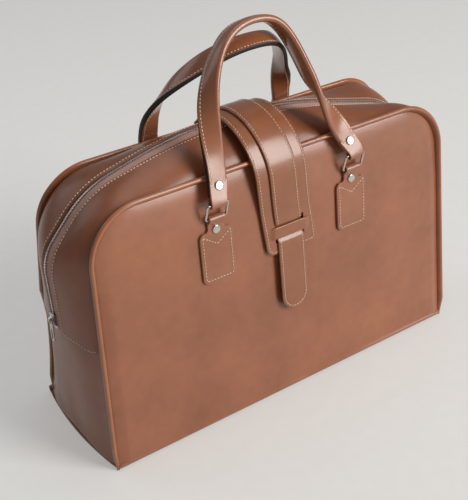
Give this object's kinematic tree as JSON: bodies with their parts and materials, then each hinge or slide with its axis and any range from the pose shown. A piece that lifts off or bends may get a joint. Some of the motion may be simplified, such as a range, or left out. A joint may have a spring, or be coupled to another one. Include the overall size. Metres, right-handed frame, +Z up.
{
  "type": "travel bag",
  "caption": "Tapered travel bag with piped faces, a domed zip gusset, a strap that closes over the zip, and looped strap handles hung on wire rings.",
  "frame": {"origin": "centre of the base, on the surface that the bag stands on", "axes": "+Z up, +X along the width, the face with the strap's tongue looks along -Y"},
  "size_m": [0.4984, 0.1648, 0.4183],
  "materials": {
    "body_leather": "glossy grained leather look",
    "gusset_leather": "glossy grained leather look",
    "piping_leather": "glossy",
    "tab_leather": "glossy, stitched",
    "handle_leather": "glossy, stitched, dark cut edge",
    "strap_leather": "glossy, stitched",
    "nickel": "polished nickel",
    "zip_teeth": "bright metal",
    "zip_tape": "woven",
    "board": "plain stiff board"
  },
  "bodies": {
    "bag": {"base_board": "board", "body_wrap": "body_leather", "piping_back": "piping_leather", "piping_front": "piping_leather", "side_gusset_left": "gusset_leather", "side_gusset_right": "gusset_leather", "snap_stud": "nickel", "tab_back_left": "tab_leather", "tab_back_right": "tab_leather", "tab_front_left": "tab_leather", "tab_front_right": "tab_leather", "tab_rivets_back": "nickel", "tab_rivets_front": "nickel", "zip_chain": "zip_teeth", "zip_gusset_back": "gusset_leather", "zip_gusset_front": "gusset_leather", "zip_stops": "zip_teeth", "zip_tape_back_crown": "zip_tape", "zip_tape_back_left": "zip_tape", "zip_tape_back_right": "zip_tape", "zip_tape_front_crown": "zip_tape", "zip_tape_front_left": "zip_tape", "zip_tape_front_right": "zip_tape"},
    "front_rings": {"ring_front_left": "nickel", "ring_front_right": "nickel"},
    "front_handle": {"handle_front": "handle_leather", "handle_rivets_front": "nickel"},
    "back_rings": {"ring_back_left": "nickel", "ring_back_right": "nickel"},
    "back_handle": {"handle_back": "handle_leather", "handle_rivets_back": "nickel"},
    "strap": {"strap_wide": "strap_leather", "strap_narrow": "strap_leather", "snap_socket": "nickel"},
    "slider": {"zip_slider": "nickel"},
    "pull": {"zip_pull": "nickel"}
  },
  "joints": [
    {"name": "front_ring_swing", "type": "hinge", "parent": "bag", "child": "front_rings", "pos_m": [0, -0.06155, 0.243], "axis": [1, 0, 0], "range_deg": [0, 105]},
    {"name": "front_handle_swing", "type": "hinge", "parent": "front_rings", "child": "front_handle", "pos_m": [0, -0.066, 0.26085], "axis": [1, 0, 0], "range_deg": [0, 85]},
    {"name": "back_ring_swing", "type": "hinge", "parent": "bag", "child": "back_rings", "pos_m": [0, 0.06155, 0.243], "axis": [-1, 0, 0], "range_deg": [0, 105]},
    {"name": "back_handle_swing", "type": "hinge", "parent": "back_rings", "child": "back_handle", "pos_m": [0, 0.066, 0.26085], "axis": [-1, 0, 0], "range_deg": [0, 85]},
    {"name": "strap_lift", "type": "hinge", "parent": "bag", "child": "strap", "pos_m": [0, 0.04435, 0.29258], "axis": [-1, 0, 0], "range_deg": [0, 45]},
    {"name": "zip_slide", "type": "slide", "parent": "bag", "child": "slider", "axis": [-0.0475, 0, 0.9989], "range_m": [0, 0.045]},
    {"name": "pull_swing", "type": "hinge", "parent": "slider", "child": "pull", "pos_m": [-0.24852, 0, 0.15368], "axis": [0, 1, 0], "range_deg": [0, 170]}
  ]
}
